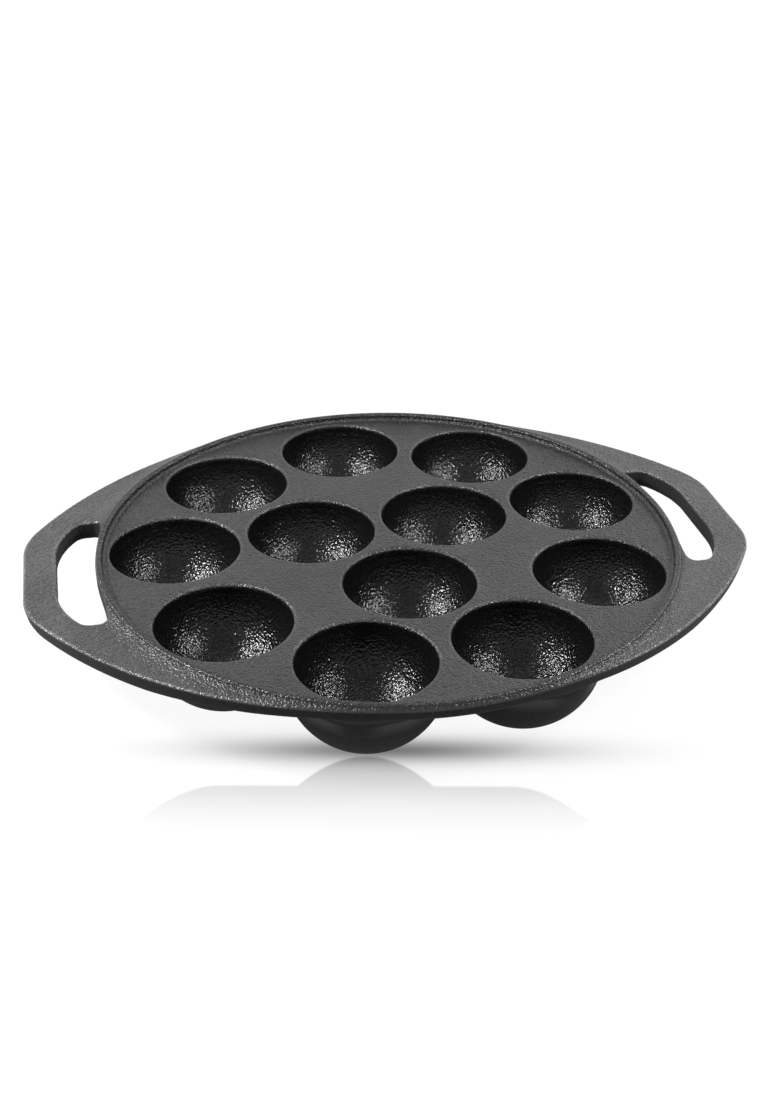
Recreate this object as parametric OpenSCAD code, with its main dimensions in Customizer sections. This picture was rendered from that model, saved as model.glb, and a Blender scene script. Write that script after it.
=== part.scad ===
// Cast pan for round filled pancakes: a level deck with twelve half-ball cups in two rings,
// a low raised rim, and a lens-shaped flange that carries a slotted grip at either end.
// Millimetres, +Z up, the grips lie along X, and the pan stands on Z = 0.

/* [Cups] */
// Width of a cup's mouth
cup_d = 50; // [40:0.5:60]
// Straight drop below the deck's underside before the half ball begins
neck_drop = 0.3; // [0.2:0.1:4]
// Iron between a cup and the outside of its dome
cup_wall = 4; // [2.5:0.1:4.3]
// Rounding of a cup's lip
lip_r = 0.8; // [0.3:0.1:1.2]
// Width of the flat ground on each dome, on which the pan stands
foot_d = 8; // [4:0.5:14]
// Land on the deck between one outer cup and the next
outer_land = 6.6; // [4:0.1:12]
// Land on the deck between one inner cup and the next
inner_land = 4.6; // [3:0.1:6]
// Turn of both rings of cups from the line of the grips
cup_turn = 3; // [-8:0.5:8]

/* [Deck and rim] */
// Thickness of the deck
deck_t = 3.6; // [2.8:0.1:4.5]
// Land on the deck between the outer cups and the rim
rim_land = 2.5; // [2.5:0.1:8]
// Thickness of the rim
rim_w = 2.75; // [2.2:0.05:3.5]
// Height of the rim above the deck
rim_h = 2.8; // [2:0.1:5]
// Rounding of the rim's top edges
rim_round = 0.9; // [0.4:0.1:1]
// Fillet where the rim rises from the deck
rim_fillet = 1.5; // [0.8:0.1:1.6]
// How far the deck's edge leans in from its top to its bottom
deck_lean = 0.9; // [0.2:0.1:0.9]

/* [Flange] */
// Width of the flange past the rim at its waist
waist_ledge = 0.9; // [0.7:0.1:4]
// Direction, from the line of the grips, in which a long side runs into the waist
waist_turn = 80; // [76:0.5:82]
// Distance from the middle of the pan to the centre of a long side's curve
side_off = 56.1; // [50:0.5:62]
// Radius of the cove that sweeps from the flange up to the rim
cove_r = 15; // [8:0.5:20]
// Width of the haunch under the flange, from the deck out to full thickness
haunch_w = 3; // [2:0.5:5]
// How far the waist's underside lies below the deck's
waist_drop = 0.6; // [0.3:0.1:1.5]
// Distance from the middle at which the flange's underside starts to fall towards a grip
taper_start = 20; // [10:1:40]
// How far the outer wall leans in from the flange's face to the bevel
wall_lean = 1; // [0.2:0.1:1.4]
// Height of the bevel at the foot of the outer wall
bevel_h = 3; // [1.5:0.1:3.5]
// Width of the bevel at the foot of the outer wall
bevel_w = 1.6; // [0.5:0.1:3]

/* [Grips] */
// Thickness of the grips
grip_t = 7.6; // [6:0.2:9]
// Thickness of a grip's bar past the slot
bar_w = 12.4; // [9:0.1:20]
// Rounding of a grip's outer corners
corner_r = 35; // [20:1:40]
// Width of a finger slot between the rim and the bar
slot_w = 14.4; // [13:0.1:24]
// Length of a slot
slot_len = 75.4; // [66:0.2:78]
// Straight length in the middle of a slot's outer side
slot_flat = 24; // [10:1:40]
// Radius in which a slot's outer side bows in towards its ends
slot_bow_r = 40; // [36:1:60]
// Rounding of a slot's outer corners
slot_corner_r = 5; // [3:0.5:8]
// Rounding of a slot's inner corners
slot_inner_r = 3; // [1:0.5:4]
// How far inside the rim's outer face the ends of a slot's inner side lie
slot_tuck = 3.2; // [2:0.1:5]
// Width of an arm where it parts from the flange, past a slot's end
arm_root = 12; // [8:0.5:20]

/* [Hidden] */
$fn = 96;

inner_count = 3;
outer_count = 9;
cup_r = cup_d / 2;
inner_ring_r = (cup_d + inner_land) / 2 / sin(180 / inner_count);
outer_ring_r = (cup_d + outer_land) / 2 / sin(180 / outer_count);
cup_neck = deck_t + neck_drop;
waist_t = deck_t + waist_drop;
dome_r = cup_r + cup_wall;
foot_drop = sqrt(dome_r * dome_r - foot_d * foot_d / 4);
deck_z = cup_neck + foot_drop;
rim_in_r = outer_ring_r + cup_r + rim_land;
rim_r = rim_in_r + rim_w;
waist_r = rim_r + waist_ledge;
side_r = waist_r + side_off;
slot_start = rim_r - slot_tuck;
slot_reach = rim_r + slot_w;
grip_reach = slot_reach + bar_w;
deck_low_r = rim_r - deck_lean;
far = 2 * grip_reach;

// The two rings of cups, as places on the deck
inner_places = [for (i = [0 : inner_count - 1]) let (a = -90 + cup_turn + 360 / inner_count * i)
                inner_ring_r * [cos(a), sin(a)]];
outer_places = [for (i = [0 : outer_count - 1]) let (a = 90 + cup_turn + 360 / outer_count * i)
                outer_ring_r * [cos(a), sin(a)]];
places = concat(inner_places, outer_places);

// The cove is an arc that leaves the flange's face level and meets the rim where its rounding starts
cove_rise = rim_h - rim_round;
cove_w = sqrt(cove_r * cove_r - (cove_r - cove_rise) * (cove_r - cove_rise));
cove_x = rim_r + cove_w;

// A long side's centre lies across the pan from it, so that the side runs smoothly into the waist
side_x = side_off * cos(waist_turn);
side_y = side_off * sin(waist_turn);

// A corner's centre, level with the end's and the side's tangent points
corner_x = grip_reach - corner_r;
corner_y = sqrt(pow(side_r - corner_r, 2) - pow(corner_x + side_x, 2)) - side_y;
corner_turn = atan2(corner_y + side_y, corner_x + side_x);

// A rounding overshoots the walls that it joins by this much, so that it crosses them
blend = 0.04;

// Half the slot's length, and the line where a grip parts from the flange
slot_half = slot_len / 2;
grip_root_x = rim_r * cos(asin((slot_half + arm_root) / rim_r));
// The outer wall as insets from the outline: upright over the cove, a slight lean, then a bevel
wall_steps = [[-wall_lean - bevel_w, -grip_t], [-wall_lean, bevel_h - grip_t], [0, 0], [0, rim_h]];

iron = [0.13, 0.13, 0.135];
iron_lit = [0.2, 0.2, 0.205];

// The pan is drawn with its deck's face at 0 and lifted onto its feet
module standing() {
    translate([0, 0, deck_z]) children();
}

// Section of the outline's wall, from a line at start out to its reach
module wall_section(reach, start = 0) {
    polygon(concat([[start, rim_h], [start, -grip_t]], [for (w = wall_steps) [reach + w[0], w[1]]]));
}

// Everything inside a round wall of the outline
module wall_disc(r) {
    rotate_extrude($fn = 360) wall_section(r);
}

// Everything on the pan's side of the flat end on +X
module end_side() {
    rotate([90, 0, 0])
        translate([0, 0, -far]) linear_extrude(2 * far) wall_section(grip_reach, -far);
}

module side_disc(sx, sy) {
    translate([-sx * side_x, -sy * side_y, 0]) wall_disc(side_r);
}

// What a rounding takes off: a wedge with its point at the rounding's centre, less the rounding
module off_rounding(place, r, from, to) {
    translate([place.x, place.y, 0])
        difference() {
            translate([0, 0, -grip_t - 1])
                linear_extrude(grip_t + rim_h + 2)
                    polygon([[0, 0], far * [cos(from), sin(from)],
                             2 * far * [cos((from + to) / 2), sin((from + to) / 2)],
                             far * [cos(to), sin(to)]]);
            wall_disc(r + blend);
        }
}

// The flange and grips from above: four long sides, two flat ends, rounded corners and waists
module lens() {
    difference() {
        intersection() {
            side_disc(1, 1);
            side_disc(1, -1);
            side_disc(-1, 1);
            side_disc(-1, -1);
            end_side();
            mirror([1, 0, 0]) end_side();
        }
        for (mx = [0, 1], my = [0, 1])
            mirror([mx, 0, 0]) mirror([0, my, 0])
                off_rounding([corner_x, corner_y], corner_r, 0, corner_turn);
        for (my = [0, 1])
            mirror([0, my, 0]) off_rounding([0, 0], waist_r, waist_turn, 180 - waist_turn);
    }
}

// Section of the flange: the cove and level face above, the haunch and level underside below
module flange_section() {
    difference() {
        polygon([[deck_low_r, -deck_t], [deck_low_r + haunch_w, -grip_t], [far, -grip_t],
                 [far, 0], [cove_x, 0], [cove_x, cove_rise + 1], [rim_r, cove_rise + 1], [rim_r, 0]]);
        translate([cove_x, cove_r]) circle(r = cove_r, $fn = 180);
    }
}

module flange_ring() {
    rotate_extrude($fn = 360) flange_section();
}

// Everything above the underside of the long sides, which falls from the waist towards the grips
module over_taper() {
    taper_end = grip_root_x - haunch_w;
    fall = (grip_t - waist_t) / (taper_end - taper_start);
    low = -waist_t - fall * (far - taper_start);
    rotate([90, 0, 0])
        translate([0, 0, -far])
            linear_extrude(2 * far)
                polygon([[-far, far], [-far, low], [-taper_start, -waist_t],
                         [taper_start, -waist_t], [far, low], [far, far]]);
}

// The long narrow part of the flange along the back or, mirrored, along the front
module flange_side() {
    intersection() {
        flange_ring();
        lens();
        over_taper();
        translate([-grip_root_x, 0, -far]) cube([2 * grip_root_x, far, 2 * far]);
    }
}

// The finger slot from above: tight corners at the rim, and an outer side that bows in
// towards its ends and turns into them through a rounding
module slot_shape() {
    inner_x = slot_start + slot_inner_r;
    bow_x = slot_reach - slot_bow_r;
    bow_y = slot_flat / 2;
    turn_y = slot_half - slot_corner_r;
    turn_x = bow_x + sqrt(pow(slot_bow_r - slot_corner_r, 2) - pow(turn_y - bow_y, 2));
    reach = 3 * slot_corner_r;
    difference() {
        intersection() {
            union() {
                translate([slot_start, slot_inner_r - slot_half])
                    square([far, slot_len - 2 * slot_inner_r]);
                translate([inner_x, -slot_half]) square([far, slot_len]);
                for (side = [-1, 1])
                    translate([inner_x, side * (slot_half - slot_inner_r)])
                        circle(r = slot_inner_r, $fn = 60);
            }
            union() {
                translate([0, -bow_y]) square([slot_reach, slot_flat]);
                for (side = [-1, 1])
                    translate([bow_x, side * bow_y]) circle(r = slot_bow_r, $fn = 240);
            }
        }
        for (side = [-1, 1])
            translate([turn_x, side * turn_y])
                difference() {
                    polygon([[0, 0], [0, side * reach], [reach, side * reach],
                             reach / slot_bow_r * [turn_x - bow_x, side * (turn_y - bow_y)]]);
                    circle(r = slot_corner_r + blend, $fn = 90);
                }
    }
}

module slot() {
    translate([0, 0, -grip_t - 1]) linear_extrude(grip_t + rim_h + 2) slot_shape();
}

// The grip on +X: a bar past the finger slot, with an arm running back into the flange at each end
module grip() {
    difference() {
        intersection() {
            flange_ring();
            lens();
            translate([grip_root_x, -far, -far]) cube([far, 2 * far, 2 * far]);
        }
        slot();
    }
}

// The mouth of a cup, cut through the deck with a rounded lip
module mouth() {
    translate([0, 0, -deck_t - 1]) cylinder(h = deck_t + 2, r = cup_r, $fn = 120);
    rotate_extrude($fn = 120)
        difference() {
            translate([0, -lip_r]) square([cup_r + lip_r, lip_r + 1]);
            translate([cup_r + lip_r, -lip_r]) circle(r = lip_r, $fn = 48);
        }
}

module deck() {
    color(iron_lit)
        standing()
            difference() {
                translate([0, 0, -deck_t]) cylinder(h = deck_t, r1 = deck_low_r, r2 = rim_r, $fn = 360);
                for (p = places) translate([p.x, p.y, 0]) mouth();
            }
}

// Section of the rim: rounded at the top, filleted into the deck on the inside
module rim_section() {
    fillet_z = rim_fillet * 0.9;
    translate([rim_in_r, 0]) square([rim_w, rim_h - rim_round]);
    translate([rim_in_r + rim_round, 0]) square([rim_w - 2 * rim_round, rim_h]);
    for (x = [rim_in_r + rim_round, rim_r - rim_round])
        translate([x, rim_h - rim_round]) circle(r = rim_round, $fn = 48);
    difference() {
        translate([rim_in_r - rim_fillet, 0]) square([rim_fillet + rim_w / 2, fillet_z]);
        translate([rim_in_r - rim_fillet, fillet_z]) circle(r = rim_fillet, $fn = 60);
    }
}

module rim() {
    color(iron_lit) standing() rotate_extrude($fn = 360) rim_section();
}

module front_flange() {
    color(iron_lit) standing() mirror([0, 1, 0]) flange_side();
}

module back_flange() {
    color(iron_lit) standing() flange_side();
}

module left_grip() {
    color(iron_lit) standing() mirror([1, 0, 0]) grip();
}

module right_grip() {
    color(iron_lit) standing() grip();
}

// Section of a cup below the deck: a short straight neck over a half ball, flat at the very bottom
module cup_section() {
    difference() {
        union() {
            translate([0, -cup_neck]) square([dome_r, cup_neck - deck_t]);
            intersection() {
                translate([0, -cup_neck]) circle(r = dome_r, $fn = 180);
                translate([0, -cup_neck - foot_drop]) square([dome_r, foot_drop]);
            }
        }
        translate([-1, -cup_neck]) square([cup_r + 1, cup_neck]);
        translate([0, -cup_neck]) circle(r = cup_r, $fn = 180);
    }
}

// The iron past the line half way from one cup to the next belongs to the next
module beyond(from, to) {
    way = to - from;
    translate([(from.x + to.x) / 2, (from.y + to.y) / 2, -far / 2])
        rotate([0, 0, atan2(way.y, way.x)])
            translate([0, -far / 2, 0]) cube([far, far, far]);
}

module cup(p) {
    color(iron)
        standing()
            difference() {
                translate([p.x, p.y, 0]) rotate_extrude($fn = 180) cup_section();
                for (q = places)
                    if (q != p && norm(q - p) < 2 * dome_r) beyond(p, q);
            }
}

deck();
rim();
front_flange();
back_flange();
left_grip();
right_grip();
for (i = [1 : inner_count])
    cup(inner_places[i - 1]);
for (i = [1 : outer_count])
    cup(outer_places[i - 1]);
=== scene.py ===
import bpy
import math
import numpy as np
from mathutils import Euler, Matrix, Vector

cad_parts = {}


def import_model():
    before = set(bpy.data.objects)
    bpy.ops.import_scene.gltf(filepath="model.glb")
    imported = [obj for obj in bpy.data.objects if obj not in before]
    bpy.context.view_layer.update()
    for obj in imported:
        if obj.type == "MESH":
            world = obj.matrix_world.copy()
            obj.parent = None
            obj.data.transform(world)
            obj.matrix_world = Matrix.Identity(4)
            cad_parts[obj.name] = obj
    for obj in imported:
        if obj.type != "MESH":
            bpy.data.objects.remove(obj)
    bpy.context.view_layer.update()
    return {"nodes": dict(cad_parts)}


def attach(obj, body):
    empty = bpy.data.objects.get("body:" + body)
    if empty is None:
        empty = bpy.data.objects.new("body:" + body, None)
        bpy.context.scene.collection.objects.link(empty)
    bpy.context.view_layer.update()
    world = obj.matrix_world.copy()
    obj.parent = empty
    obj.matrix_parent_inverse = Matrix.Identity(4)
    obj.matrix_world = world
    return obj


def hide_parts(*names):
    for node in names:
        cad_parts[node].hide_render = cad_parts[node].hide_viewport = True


# A cast pan for round filled pancakes, on a white table that mirrors it faintly.
# Lengths are in millimetres until the mesh is made, with the deck's face at z = 0.
# Materials, floor, lamps and camera are in metres, with the floor at z = 0.

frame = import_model()

# The CAD model's sizes: cups and deck
CUP_R, CUP_WALL, DECK_T = 25.0, 4.0, 3.6
NECK = 3.9  # from the deck's face down to the middle of a cup's ball
FOOT_R = 4.0  # the flat that is ground on each dome
DOME_R = CUP_R + CUP_WALL
FOOT_DROP = math.sqrt(DOME_R ** 2 - FOOT_R ** 2)
DECK_Z = NECK + FOOT_DROP
INNER_CUPS, INNER_HALF_PITCH = 3, 27.3
OUTER_CUPS, OUTER_HALF_PITCH = 9, 28.3
RING_TURN = 3  # degrees, against the grips
INNER_RING_R = INNER_HALF_PITCH / math.sin(math.pi / INNER_CUPS)
OUTER_RING_R = OUTER_HALF_PITCH / math.sin(math.pi / OUTER_CUPS)
CUPS = [(INNER_RING_R, math.radians(RING_TURN - 90 + 360 // INNER_CUPS * i))
        for i in range(INNER_CUPS)]
CUPS += [(OUTER_RING_R, math.radians(RING_TURN + 90 + 360 // OUTER_CUPS * i))
         for i in range(OUTER_CUPS)]
CUPS = np.array([(r * math.cos(a), r * math.sin(a)) for r, a in CUPS])

# Rim and flange
RIM_W, RIM_H, RIM_ROUND, RIM_FILLET = 2.75, 2.8, 0.9, 1.5
RIM_LAND = 2.5  # between the outer cups and the rim
RIM_R = OUTER_RING_R + CUP_R + RIM_LAND + RIM_W
DECK_LEAN = 0.9  # how far inside the rim's outer face the deck's edge lies
COVE_R, HAUNCH_W, HAUNCH_SOFT = 15.0, 3.0, 1.0
WAIST_W, SIDE_GROWTH = 0.9, 56.1
WAIST_R, WAIST_TURN = RIM_R + WAIST_W, math.radians(80)
SIDE_R = WAIST_R + SIDE_GROWTH
WAIST_T, GRIP_T = 4.2, 7.6
TAPER, TAPER_POWER = (20.0, 98.5), 1.7  # where the flange's thickness grows, and how late

# The outer wall's lean: its inset at the bottom, at the waist and what the grips add to it,
# and the share of that inset at heights from the bottom (0) to the top (1)
LEAN, GRIP_LEAN = 1.2, 1.2
LEAN_HEIGHTS, LEAN_SHARES = [0, 0.2, 0.4, 1], [1, 0.7, 0.4, 0]
LEAN_SLOPE = 0.93  # turns a level distance to a leaning wall into a square one

# Finger slots and grips
SLOT_TUCK, SLOT_W, BAR_W = 3.2, 14.4, 12.4
SLOT_START, SLOT_REACH, SLOT_HALF = RIM_R - SLOT_TUCK, RIM_R + SLOT_W, 37.7
SLOT_FLAT, SLOT_BOW_R, SLOT_CORNER_R, SLOT_IN_R = 12.0, 40.0, 5.0, 3.0
REACH, CORNER_R = SLOT_REACH + BAR_W, 35.0

# How softly the casting's forms run into each other
LIP, EDGE, DOME_BLEND, DOME_TOP, FOOT_EDGE = 1.5, 1.3, 4.0, 0.5, 0.6
SLOT_BLEND, SLOT_LAP = 2.5, 0.2


def spans(*marks):
    """Samples along a line, from (start, step) pairs. The last pair only ends the line."""
    return np.concatenate([np.arange(a, b, step) for (a, step), (b, _) in zip(marks, marks[1:])])


# The grid on which the skin is found: radius, turn and height, fine at the rim's roundings
GRID_R = spans((2, 1.0), (107, 0.4), (118, 0.9), (REACH + 4, 0))
GRID_TURNS = 720
GRID_Z = spans((-DECK_Z - 2.13, 1.0), (-9.0, 0.8), (-1.25, 0.5), (4.2, 0))


def smooth_max(a, b, k):
    h = np.maximum(k - np.abs(a - b), 0) / k
    return np.maximum(a, b) + h * h * k / 4


def smooth_min(a, b, k):
    return -smooth_max(-a, -b, k)


def arc(cx, cy, r, a0, a1, n):
    t = np.radians(np.linspace(a0, a1, n))
    return [(cx + r * math.cos(v), cy + r * math.sin(v)) for v in t]


def section():
    """The top of the deck, rim and flange cut along a radius, as (radius, height) points."""
    rise = RIM_H - RIM_ROUND
    cove_w = math.sqrt(COVE_R ** 2 - (COVE_R - rise) ** 2)
    cove_x = RIM_R + cove_w
    foot = math.degrees(math.asin(cove_w / COVE_R))
    inside = RIM_R - RIM_W
    pts = [(-60, 0), (inside - RIM_FILLET, 0)]
    pts += arc(inside - RIM_FILLET, RIM_FILLET, RIM_FILLET, -90, -8, 10)
    pts += arc(inside + RIM_ROUND + 0.1, RIM_H - RIM_ROUND, RIM_ROUND, 180, 90, 9)
    pts += arc(RIM_R - RIM_ROUND, RIM_H - RIM_ROUND, RIM_ROUND, 90, 25, 8)
    pts += arc(cove_x, COVE_R, COVE_R, -90 - foot, -90, 16)
    return np.array(pts + [(220, 0), (220, -30), (-60, -30)])


def polygon_distance(x, y, pts):
    """Signed distance to a closed polygon, less than 0 inside."""
    best = np.full(x.shape, 1e9)
    inside = np.zeros(x.shape, bool)
    for (ax, ay), (bx, by) in zip(pts, np.roll(pts, -1, axis=0)):
        ex, ey = bx - ax, by - ay
        if ex == 0 and ey == 0:
            continue
        t = np.clip(((x - ax) * ex + (y - ay) * ey) / (ex * ex + ey * ey), 0, 1)
        best = np.minimum(best, (x - ax - t * ex) ** 2 + (y - ay - t * ey) ** 2)
        if ey != 0:
            inside ^= ((ay > y) != (by > y)) & (x < ax + (y - ay) / ey * ex)
    return np.sqrt(best) * np.where(inside, -1, 1)


STEP = 0.1
R_AXIS = np.arange(0, 170, STEP)
Z_AXIS = np.arange(-14, 9, STEP)
SECTION = polygon_distance(*np.meshgrid(R_AXIS, Z_AXIS, indexing="ij"), section())


def section_distance(r, z):
    u = np.clip(r / STEP, 0, len(R_AXIS) - 1.001)
    v = np.clip((z - Z_AXIS[0]) / STEP, 0, len(Z_AXIS) - 1.001)
    i, j = u.astype(int), v.astype(int)
    u, v = u - i, v - j
    d = (SECTION[i, j] * (1 - u) * (1 - v) + SECTION[i + 1, j] * u * (1 - v)
         + SECTION[i, j + 1] * (1 - u) * v + SECTION[i + 1, j + 1] * u * v)
    return d + np.maximum(z - Z_AXIS[-1], 0) + np.maximum(Z_AXIS[0] - z, 0)


SIDE_OFF = SIDE_R - WAIST_R
SIDE_C = -SIDE_OFF * np.array([math.cos(WAIST_TURN), math.sin(WAIST_TURN)])
CORNER_X = REACH - CORNER_R
CORNER_Y = math.sqrt((SIDE_R - CORNER_R) ** 2 - (CORNER_X - SIDE_C[0]) ** 2) + SIDE_C[1]
CORNER_TURN = math.atan2(CORNER_Y - SIDE_C[1], CORNER_X - SIDE_C[0])


def outline_distance(x, y):
    """Signed distance to the pan's outline seen from above: waist, long sides, corners and ends."""
    x, y = np.abs(x), np.abs(y)
    side = np.hypot(x - SIDE_C[0], y - SIDE_C[1]) - SIDE_R
    corner = np.hypot(x - CORNER_X, y - CORNER_Y) - CORNER_R
    at_corner = (x > CORNER_X) & (np.arctan2(y - CORNER_Y, x - CORNER_X) < CORNER_TURN)
    d = np.where(at_corner, corner, side)
    d = np.where((y < CORNER_Y) & (x > CORNER_X - 20), x - REACH, d)
    return np.where(np.arctan2(y, x) > WAIST_TURN, np.hypot(x, y) - WAIST_R, d)


BOW_X, TURN_Y = SLOT_REACH - SLOT_BOW_R, SLOT_HALF - SLOT_CORNER_R
TURN_X = BOW_X + math.sqrt((SLOT_BOW_R - SLOT_CORNER_R) ** 2 - (TURN_Y - SLOT_FLAT) ** 2)
SLOT_TURN = math.atan2(TURN_Y - SLOT_FLAT, TURN_X - BOW_X)


def slot_distance(x, y):
    """Signed distance to a finger slot seen from above; its inner side is the rim's outer wall."""
    x, y = np.abs(x), np.abs(y)
    end = y - SLOT_HALF
    bow = np.where(y < SLOT_FLAT, x - SLOT_REACH, np.hypot(x - BOW_X, y - SLOT_FLAT) - SLOT_BOW_R)
    turn = np.arctan2(y - TURN_Y, x - TURN_X)
    outer = np.where((turn > SLOT_TURN) & (turn < math.pi / 2),
                     np.hypot(x - TURN_X, y - TURN_Y) - SLOT_CORNER_R, np.maximum(end, bow))
    dx, dy = SLOT_START - x + SLOT_IN_R, end + SLOT_IN_R
    inner = (np.minimum(np.maximum(dx, dy), 0)
             + np.hypot(np.maximum(dx, 0), np.maximum(dy, 0)) - SLOT_IN_R)
    rim_wall = RIM_R - SLOT_LAP - np.hypot(x, y)
    return smooth_max(np.maximum(outer, inner), rim_wall, SLOT_BLEND)


def nearest_cups(x, y):
    d = np.sqrt((x[..., None] - CUPS[:, 0]) ** 2 + (y[..., None] - CUPS[:, 1]) ** 2)
    return np.moveaxis(np.partition(d, 2, axis=-1)[..., :3], -1, 0)


def thickness(x, r):
    """How far the underside lies below the deck's face: least in the middle, most at the grips."""
    along = np.clip((np.abs(x) - TAPER[0]) / (TAPER[1] - TAPER[0]), 0, 1)
    full = WAIST_T + (GRIP_T - WAIST_T) * along ** TAPER_POWER
    haunch = r - (RIM_R - DECK_LEAN - HAUNCH_SOFT)
    t = np.clip(haunch / (HAUNCH_W + 2 * HAUNCH_SOFT), 0, 1)
    return DECK_T + (full - DECK_T) * t * t * (3 - 2 * t)


def casting(x, y, z, plan=None):
    """Signed distance to the whole casting, less than 0 in the iron.

    plan holds what depends on x and y alone.
    """
    r, outline, slot, deep, near = plan or plan_of(x, y)
    d = smooth_max(section_distance(r, z), -z - deep, EDGE)
    h = (z + deep) / deep
    lean = LEAN + GRIP_LEAN * np.clip((deep - WAIST_T) / (GRIP_T - WAIST_T), 0, 1)
    inset = lean * np.interp(h, LEAN_HEIGHTS, LEAN_SHARES)
    d = smooth_max(d, (outline + inset) * LEAN_SLOPE, EDGE)
    d = smooth_max(d, -slot, EDGE)
    dz = z + NECK
    for q in near:
        dome = smooth_max(np.hypot(q, dz) - DOME_R, dz, DOME_TOP)
        d = smooth_min(d, dome, DOME_BLEND)
    d = smooth_max(d, -(z + NECK + FOOT_DROP), FOOT_EDGE)
    q = near[0]
    cavity = np.where(dz > 0, q, np.hypot(q, dz)) - CUP_R
    return smooth_max(d, -cavity, LIP)


def plan_of(x, y):
    r = np.hypot(x, y)
    near = np.sort(nearest_cups(x, y), axis=0)
    return r, outline_distance(x, y), slot_distance(x, y), thickness(x, r), near


def surface_net():
    """The casting's skin as vertices and four-sided faces, one vertex in each cell it crosses."""
    turn = np.linspace(0, 2 * math.pi, GRID_TURNS + 1)
    x, y = GRID_R[:, None] * np.cos(turn), GRID_R[:, None] * np.sin(turn)
    plan = plan_of(x, y)
    f = np.stack([casting(x, y, np.full_like(x, z), plan) for z in GRID_Z], axis=2)
    f[:, -1] = f[:, 0]
    inside = f < 0
    cut = lambda a, i, j, k: a[i:a.shape[0] - 1 + i, j:a.shape[1] - 1 + j, k:a.shape[2] - 1 + k]
    corners = [(i, j, k) for i in (0, 1) for j in (0, 1) for k in (0, 1)]
    cells = sum(cut(inside, *c).astype(np.int8) for c in corners)
    mixed = (cells > 0) & (cells < 8)
    ids = np.full(cells.shape, -1, np.int64)
    ids[mixed] = np.arange(mixed.sum())
    total = np.zeros((mixed.sum(), 3))
    count = np.zeros(mixed.sum())
    for a in corners:
        for axis in range(3):
            if a[axis]:
                continue
            b = tuple(1 if n == axis else a[n] for n in range(3))
            fa, fb = cut(f, *a)[mixed], cut(f, *b)[mixed]
            cross = (fa < 0) != (fb < 0)
            t = np.where(cross, fa / np.where(cross, fa - fb, 1), 0)
            for n in range(3):
                total[:, n] += np.where(cross, t if n == axis else a[n], 0)
            count += cross
    at = np.argwhere(mixed) + total / count[:, None]
    grid = (GRID_R, turn, GRID_Z)
    r, a, z = (np.interp(at[:, n], np.arange(len(g)), g) for n, g in enumerate(grid))
    verts = np.stack([r * np.cos(a), r * np.sin(a), z], axis=1)
    faces = []
    for axis in range(3):
        u, v = (axis + 1) % 3, (axis + 2) % 3
        ends = inside if axis == 1 else inside[:, :GRID_TURNS]
        first = ends.take(range(ends.shape[axis] - 1), axis)
        second = ends.take(range(1, ends.shape[axis]), axis)
        for want, flip in ((first & ~second, False), (second & ~first, True)):
            at = np.argwhere(want)
            if axis:
                at = at[at[:, 0] > 0]
            ring = []
            for du, dv in ((0, 0), (1, 0), (1, 1), (0, 1)):
                c = at.copy()
                c[:, u] -= 1 - du
                c[:, v] -= 1 - dv
                ring.append(ids[c[:, 0], c[:, 1], c[:, 2]])
            faces.append(np.stack(ring[::-1] if flip else ring, axis=1))
    return close_middle(verts, np.concatenate(faces))


def close_middle(verts, faces):
    """Fills the small round holes that the grid leaves at the pan's axis, above and below."""
    edges = np.stack([faces, np.roll(faces, -1, axis=1)], axis=2).reshape(-1, 2)
    _, first, count = np.unique(np.sort(edges, axis=1), axis=0,
                                return_index=True, return_counts=True)
    onward = {b: a for a, b in edges[first[count == 1]].tolist()}
    while onward:
        ring = [next(iter(onward))]
        while onward.get(ring[-1]) is not None:
            ring.append(onward.pop(ring[-1]))
        middle = len(verts)
        verts = np.concatenate([verts, verts[ring[:-1]].mean(0)[None]])
        fan = [(middle, ring[n], ring[n + 1], ring[n + 2]) for n in range(0, len(ring) - 2, 2)]
        faces = np.concatenate([faces, np.array(fan)])
    return verts, faces


def gradient(p, e=0.05):
    g = np.empty_like(p)
    for n in range(3):
        a, b = p.copy(), p.copy()
        a[:, n] += e
        b[:, n] -= e
        g[:, n] = (casting(*a.T) - casting(*b.T)) / (2 * e)
    return g


def settle(p, rounds):
    for _ in range(rounds):
        g = gradient(p)
        step = casting(*p.T)[:, None] * g / np.maximum((g * g).sum(1), 0.05)[:, None]
        p = p - np.clip(step, -0.5, 0.5)
    return p


def relax(p, faces):
    """Evens the spacing of the vertices along the skin."""
    total = np.zeros_like(p)
    count = np.zeros(len(p))
    for n in range(4):
        a, b = faces[:, n], faces[:, (n + 1) % 4]
        for s, t in ((a, b), (b, a)):
            for k in range(3):
                total[:, k] += np.bincount(s, p[t, k], len(p))
            count += np.bincount(s, minlength=len(p))
    g = gradient(p)
    g /= np.linalg.norm(g, axis=1)[:, None]
    move = total / count[:, None] - p
    return p + 0.5 * (move - (move * g).sum(1)[:, None] * g)


def bend(p, faces, normals):
    """How sharply the skin turns at each vertex, in 1/mm: over 0 on edges, under 0 in hollows."""
    total = np.zeros(len(p))
    count = np.zeros(len(p))
    for n in range(4):
        a, b = faces[:, n], faces[:, (n + 1) % 4]
        step = p[b] - p[a]
        turn = ((normals[b] - normals[a]) * step).sum(1) / np.maximum((step * step).sum(1), 0.01)
        for s in (a, b):
            total += np.bincount(s, turn, len(p))
            count += np.bincount(s, minlength=len(p))
    return total / np.maximum(count, 1)


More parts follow.
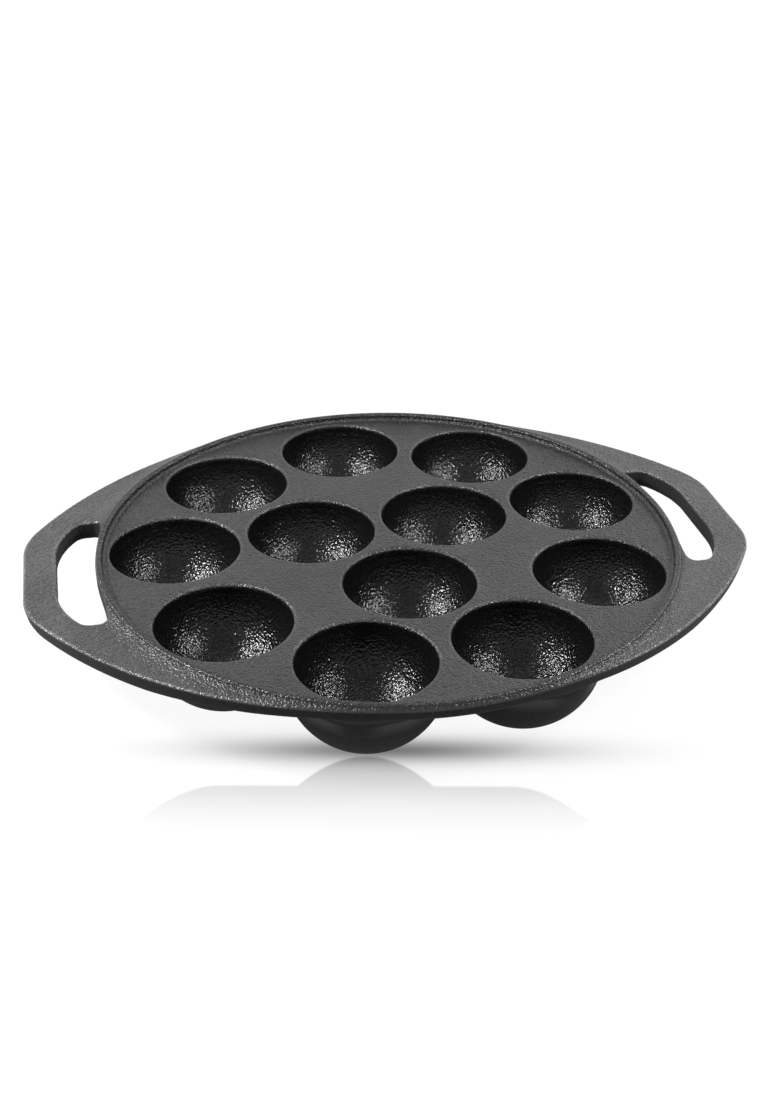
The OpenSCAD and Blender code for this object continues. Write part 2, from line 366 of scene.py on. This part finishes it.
def build_casting():
    verts, faces = surface_net()
    verts = settle(verts, 2)
    verts = settle(relax(verts, faces), 2)
    normals = gradient(verts, 0.12)
    normals /= np.linalg.norm(normals, axis=1)[:, None]
    mesh = bpy.data.meshes.new("pan_casting")
    mesh.vertices.add(len(verts))
    mesh.vertices.foreach_set("co", ((verts + [0, 0, DECK_Z]) / 1000).astype(np.float32).ravel())
    mesh.loops.add(faces.size)
    mesh.loops.foreach_set("vertex_index", faces.astype(np.int32).ravel())
    mesh.polygons.add(len(faces))
    mesh.polygons.foreach_set("loop_start", np.arange(0, faces.size, 4, dtype=np.int32))
    mesh.update(calc_edges=True)
    mesh.validate()
    mesh.polygons.foreach_set("use_smooth", np.ones(len(faces), bool))
    mesh.normals_split_custom_set_from_vertices(normals.astype(np.float32).tolist())
    edge = mesh.attributes.new("edge", "FLOAT", "POINT")
    edge.data.foreach_set("value", bend(verts, faces, normals).astype(np.float32))
    obj = bpy.data.objects.new("pan_casting", mesh)
    bpy.context.scene.collection.objects.link(obj)
    return obj


# ---- Materials


class Nodes:
    """A short way to write a material's node tree."""

    def __init__(self, name):
        self.mat = bpy.data.materials.new(name)
        self.mat.use_nodes = True
        self.tree = self.mat.node_tree
        self.tree.nodes.clear()
        self.out = self.tree.nodes.new("ShaderNodeOutputMaterial")

    def add(self, kind, props=None, **sockets):
        n = self.tree.nodes.new("ShaderNode" + kind)
        for k, v in (props or {}).items():
            setattr(n, k, v)
        for k, v in sockets.items():
            numbered = k[0] == "i" and k[1:].isdigit()
            s = n.inputs[int(k[1:]) if numbered else k.replace("_", " ")]
            if isinstance(v, bpy.types.NodeSocket):
                self.tree.links.new(v, s)
            else:
                s.default_value = v
        return n

    def math(self, op, *args):
        sockets = {"i%d" % n: a for n, a in enumerate(args)}
        return self.add("Math", {"operation": op}, **sockets).outputs[0]

    def times(self, value, *factors):
        for factor in factors:
            value = self.math("MULTIPLY", value, factor)
        return value

    def ramp(self, value, lo, hi, to_lo=0.0, to_hi=1.0):
        return self.add("MapRange", {"interpolation_type": "SMOOTHSTEP"}, Value=value, From_Min=lo,
                        From_Max=hi, To_Min=to_lo, To_Max=to_hi).outputs[0]

    def noise(self, vector, scale, detail, rough):
        return self.add("TexNoise", Vector=vector, Scale=scale, Detail=detail,
                        Roughness=rough).outputs["Fac"]


# The iron's colours, all nearly neutral, and what multiplies them. The darker colour in the cups,
# on walls and on undersides is painted shade, the lighter flange is painted light, the darker rim
# crown is painted shade, and the lighter edges are wear and also a painted highlight.
PAINTED_SHADE_COLOUR, DECK_SHADE = 0.005, 0.026
FLANGE_PAINTED_LIGHT, CROWN_PAINTED_SHADE, WEAR_AND_HIGHLIGHT, BLUER = 1.8, 0.45, 1.3, 1.03

# Its grain, sand and patches of tone, as noise per metre, and the depth of the bump in metres
GRAIN, SAND, PATCHES = 2300, 1150, 30
GRAIN_SHARE, SAND_SHARE, BUMP = 0.15, 0.85, 0.0006

# Its roughness in the cups, on the deck's level, and on walls and undersides
CUP_ROUGH, DECK_ROUGH, WALL_ROUGH, LEAST_ROUGH = 0.17, 0.36, 0.9, 0.15
SPECULAR = 0.42


def iron():
    """Oiled cast iron: satin and greyer on the deck's level, dull below, and blacker in the cups,
    on walls and on undersides, which is painted shade.
    """
    m = Nodes("seasoned_iron")
    at = m.add("TexCoord").outputs["Object"]
    place = m.add("SeparateXYZ", Vector=at)
    flat = m.add("CombineXYZ", X=place.outputs["X"], Y=place.outputs["Y"]).outputs[0]
    away = m.add("VectorMath", {"operation": "LENGTH"}, i0=flat).outputs["Value"]
    upward = m.add("SeparateXYZ", Vector=m.add("NewGeometry").outputs["Normal"]).outputs["Z"]
    top = m.ramp(place.outputs["Z"], DECK_Z / 1000 - 0.003, DECK_Z / 1000 - 0.0006)
    grain = m.noise(at, GRAIN, 1, 0.5)
    sand = m.noise(at, SAND, 0.5, 0.5)
    patches = m.noise(at, PATCHES, 3, 0.55)
    outside = m.ramp(away, (RIM_R - 3) / 1000, RIM_R / 1000)
    edge = m.add("Attribute", {"attribute_name": "edge"}).outputs["Fac"]
    worn_and_highlit = m.times(m.ramp(edge, 0.1, 0.45), m.ramp(patches, 0.25, 0.6, 0.5, 1.0))
    crown = m.math("ABSOLUTE", m.math("SUBTRACT", away, (RIM_R - 1.0) / 1000))
    shade = m.times(
        # painted shade: the cups, walls and undersides take the darker colour
        m.ramp(m.times(top, m.ramp(upward, 0.1, 0.5)), 0, 1, PAINTED_SHADE_COLOUR, DECK_SHADE),
        # painted light: the flange and grips are painted lighter, where they catch the light
        m.ramp(away, (RIM_R - 2) / 1000, (RIM_R + 6) / 1000, 1.0, FLANGE_PAINTED_LIGHT),
        # painted shade: a thin dark band along the rim's crown
        m.ramp(crown, 0.0012, 0.0022, CROWN_PAINTED_SHADE, 1.0),
        m.ramp(sand, 0.35, 0.65, 0.75, 1.25),
        # edge wear, and also a painted highlight: the lips and the rim's edges are lighter
        m.math("MULTIPLY_ADD", worn_and_highlit, WEAR_AND_HIGHLIGHT, 1.0),
        m.ramp(patches, 0.3, 0.7, 0.85, 1.2),
        m.ramp(grain, 0.3, 0.7, 0.6, 1.4))
    colour = m.add("CombineColor", Red=shade, Green=shade, Blue=m.times(shade, BLUER))
    coarse = m.times(m.ramp(upward, -0.2, 0.2, 0.15, 1.0), m.ramp(top, 0, 1, 0.75, 1.0))
    relief = m.math("MULTIPLY_ADD", grain, GRAIN_SHARE, m.times(sand, SAND_SHARE))
    bump = m.add("Bump", Strength=coarse, Distance=BUMP, Height=relief)
    facing = m.math("MULTIPLY_ADD", outside, -0.35, upward)
    rough = m.math("MAXIMUM", m.ramp(top, 0, 1, CUP_ROUGH, DECK_ROUGH),
                   m.ramp(facing, -0.35, 0.0, WALL_ROUGH, LEAST_ROUGH))
    rough = m.math("ADD", rough, m.ramp(sand, 0.3, 0.7, -0.04, 0.04))
    rough = m.math("MULTIPLY_ADD", worn_and_highlit, -0.1, rough)
    bsdf = m.add("BsdfPrincipled", Base_Color=colour.outputs[0], Roughness=rough,
                 Normal=bump.outputs[0], Specular_IOR_Level=SPECULAR)
    m.tree.links.new(bsdf.outputs[0], m.out.inputs["Surface"])
    return m.mat


# How far the pan is turned to the photographer, and how far in front of its middle, as the
# photographer sees it, the painted shadow and the mirror begin
TURN = math.radians(-12)
FRONT_FOOT = 0.094

# The painted shadow on the floor, a soft dark streak: half width, half depth, how far it is
# shifted, and strength
PAINTED_SHADOW_W, PAINTED_SHADOW_D, PAINTED_SHADOW_SHIFT, PAINTED_SHADOW_STRENGTH = 0.0594, 0.0074, 0.0035, 0.8

# The mirror's near edge: a dome whose middle lies MIRROR_X to the left, and past it the pan's
# lifted body. The mirror fades out MIRROR_D further on.
MIRROR_X, DOME_CURVE, DOME_HALF = 0.0072, 0.033, 0.049
BODY_CURVE, BODY_LIFT, MIRROR_D, MIRROR = 29.0, 0.016, 0.062, 0.47


def table():
    """White, with a painted shadow, a soft dark streak, at the front dome's foot, and a mirror that
    fades out.

    Near the pan the white is less, most of all for reflected rays, so that the domes and cups
    stay dark: a painted shadow under the pan.
    """
    m = Nodes("white_table")
    path = m.add("LightPath")
    camera_ray = path.outputs["Is Camera Ray"]
    at = m.add("TexCoord").outputs["Object"]
    away = m.add("VectorMath", {"operation": "LENGTH"}, i0=at).outputs["Value"]
    mirrored = m.math("MAXIMUM", path.outputs["Is Glossy Ray"],
                      path.outputs["Is Transmission Ray"])
    # painted shadow: reflected rays see the floor at a fifth of its white within 60 mm, full at 150
    # mm
    seen = m.math("MAXIMUM", camera_ray, m.times(mirrored, m.ramp(away, 0.06, 0.15, 0.2, 1.0)))
    turned_at = m.add("VectorRotate", {"rotation_type": "Z_AXIS"}, Vector=at, Angle=-TURN)
    place = m.add("SeparateXYZ", Vector=turned_at.outputs[0])
    across = place.outputs["X"]
    front = m.math("MULTIPLY_ADD", place.outputs["Y"], -1.0, -FRONT_FOOT)

    def squared(value, length):
        return m.math("POWER", m.math("ABSOLUTE", m.math("DIVIDE", value, length)), 2.0)

    # painted shadow: a soft dark streak at the front dome's foot
    bell = m.math("ADD", squared(across, PAINTED_SHADOW_W),
                  squared(m.math("ADD", front, PAINTED_SHADOW_SHIFT), PAINTED_SHADOW_D))
    painted_shadow = m.times(m.math("EXPONENT", m.times(bell, -1.0)), PAINTED_SHADOW_STRENGTH)
    white = m.math("SUBTRACT", 1.0, painted_shadow)
    cloth = m.add("BsdfDiffuse", Color=(0.08, 0.08, 0.08, 1))
    # painted shadow under the pan: the white is 0.15 within 50 mm, full at 78 mm, and rises from
    # 0.94 to full farther off
    far = m.times(m.ramp(away, 0.15, 0.5, 0.94, 1.0), m.ramp(away, 0.05, 0.078, 0.15, 1.0))
    glow = m.add("Emission", Color=(1, 1, 1, 1), Strength=m.times(seen, far, white))
    lit = m.add("AddShader", i0=cloth.outputs[0], i1=glow.outputs[0])

    off = m.math("ADD", across, MIRROR_X)
    dome = m.math("DIVIDE", squared(off, 1.0), DOME_CURVE)
    past = m.math("MAXIMUM", m.math("SUBTRACT", m.math("ABSOLUTE", off), DOME_HALF), 0.0)
    body = m.math("MULTIPLY_ADD", squared(past, 1.0), BODY_CURVE, BODY_LIFT)
    start = m.math("SUBTRACT", front, m.math("MINIMUM", dome, body))
    left = m.add("MapRange", Value=front, From_Min=MIRROR_D, From_Max=0.0).outputs[0]
    share = m.times(m.math("POWER", left, 2.0), m.ramp(start, -0.0008, 0.0012, 0.0, MIRROR))
    gloss = m.add("BsdfGlossy", Color=(1, 1, 1, 1), Roughness=0.03)
    mix = m.add("MixShader", i0=m.times(share, camera_ray), i1=lit.outputs[0],
                i2=gloss.outputs[0])
    m.tree.links.new(mix.outputs[0], m.out.inputs["Surface"])
    return m.mat


def floor():
    mesh = bpy.data.meshes.new("table_top")
    s = 5.0  # half its width
    mesh.from_pydata([(-s, -s, 0), (s, -s, 0), (s, s, 0), (-s, s, 0)], [], [(0, 1, 2, 3)])
    obj = bpy.data.objects.new("table_top", mesh)
    bpy.context.scene.collection.objects.link(obj)
    mesh.materials.append(table())


# The world's light on dull surfaces, and its white as camera and metal see it: the heights in
# the sky between which it fades, and its strength below and above them
FILL = 0.22
SKY_FADE = (0.42, 0.85, 1.0, 0.25)


def world():
    w = bpy.data.worlds.new("studio")
    w.use_nodes = True
    t = w.node_tree
    t.nodes.clear()
    out = t.nodes.new("ShaderNodeOutputWorld")
    path = t.nodes.new("ShaderNodeLightPath")
    seen = path.outputs["Is Camera Ray"]
    for kind in ("Is Glossy Ray", "Is Transmission Ray"):
        either = t.nodes.new("ShaderNodeMath")
        either.operation = "MAXIMUM"
        t.links.new(seen, either.inputs[0])
        t.links.new(path.outputs[kind], either.inputs[1])
        seen = either.outputs[0]
    fill = t.nodes.new("ShaderNodeBackground")
    fill.inputs[0].default_value = (1, 1, 1, 1)
    fill.inputs[1].default_value = FILL
    white = t.nodes.new("ShaderNodeBackground")
    white.inputs[0].default_value = (1, 1, 1, 1)
    sky = t.nodes.new("ShaderNodeSeparateXYZ")
    t.links.new(t.nodes.new("ShaderNodeTexCoord").outputs["Generated"], sky.inputs[0])
    dim = t.nodes.new("ShaderNodeMapRange")
    dim.interpolation_type = "SMOOTHSTEP"
    for n, v in enumerate(SKY_FADE, 1):
        dim.inputs[n].default_value = v
    t.links.new(sky.outputs["Z"], dim.inputs[0])
    t.links.new(dim.outputs[0], white.inputs[1])
    mix = t.nodes.new("ShaderNodeMixShader")
    t.links.new(seen, mix.inputs[0])
    t.links.new(fill.outputs[0], mix.inputs[1])
    t.links.new(white.outputs[0], mix.inputs[2])
    t.links.new(mix.outputs[0], out.inputs[0])
    bpy.context.scene.world = w


def turned(x, y, z):
    """A place given as the photographer sees it, as a place in the pan's frame."""
    return Vector((x * math.cos(TURN) - y * math.sin(TURN),
                   x * math.sin(TURN) + y * math.cos(TURN), z))


def softbox(name, place, aim, width, height, power):
    data = bpy.data.lights.new(name, "AREA")
    data.shape = "RECTANGLE"
    data.size, data.size_y, data.energy = width, height, power
    obj = bpy.data.objects.new(name, data)
    obj.location = turned(*place)
    obj.rotation_mode = "QUATERNION"
    obj.rotation_quaternion = (turned(*aim) - obj.location).to_track_quat("-Z", "Y")
    bpy.context.scene.collection.objects.link(obj)


# Each lamp's name, place, aim, width, height and power in watts
SOFTBOXES = (
    ("top_softbox", (0.0, 0.0, 1.3), (0, 0, 0), 0.9, 0.6, 1.9),
    ("back_softbox", (0.75, 1.1, 0.75), (0.1, 0, 0), 0.8, 0.5, 2.2),
    ("left_softbox", (-0.42, -0.08, 0.36), (0, 0, 0.03), 0.1, 0.1, 3.9),
    ("right_softbox", (0.42, -0.05, 0.34), (0, 0, 0.03), 0.1, 0.1, 2.0),
)


def lights():
    for box in SOFTBOXES:
        softbox(*box)


# The camera that was fitted to the cups' mouths: its distance from its aim in metres, its
# elevation and roll in radians, and its focal length and long side in pixels
DISTANCE, ELEVATION, ROLL = 0.570485, 0.528173504, 0.0050152
AIM = (0.00068658, -0.01055991, DECK_Z / 1000)
FOCAL_PX, LONG_SIDE_PX, SENSOR = 1483.32, 1108, 36


def camera():
    data = bpy.data.cameras.new("camera")
    data.sensor_width = SENSOR
    data.lens = FOCAL_PX * SENSOR / LONG_SIDE_PX
    data.clip_start, data.clip_end = 0.01, 50
    obj = bpy.data.objects.new("camera", data)
    obj.location = turned(AIM[0], AIM[1] - DISTANCE * math.cos(ELEVATION),
                          AIM[2] + DISTANCE * math.sin(ELEVATION))
    tilt = Euler((math.pi / 2 - ELEVATION, 0, TURN), "XYZ").to_matrix()
    look = tilt @ Euler((0, 0, ROLL), "XYZ").to_matrix()
    obj.rotation_euler = look.to_euler("XYZ")
    bpy.context.scene.collection.objects.link(obj)
    bpy.context.scene.camera = obj


pan = build_casting()
pan.data.materials.append(iron())
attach(pan, "root")
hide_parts(*sorted(frame["nodes"]))
floor()
world()
lights()
camera()
bpy.context.scene.view_settings.view_transform = "Standard"
bpy.context.view_layer.update()
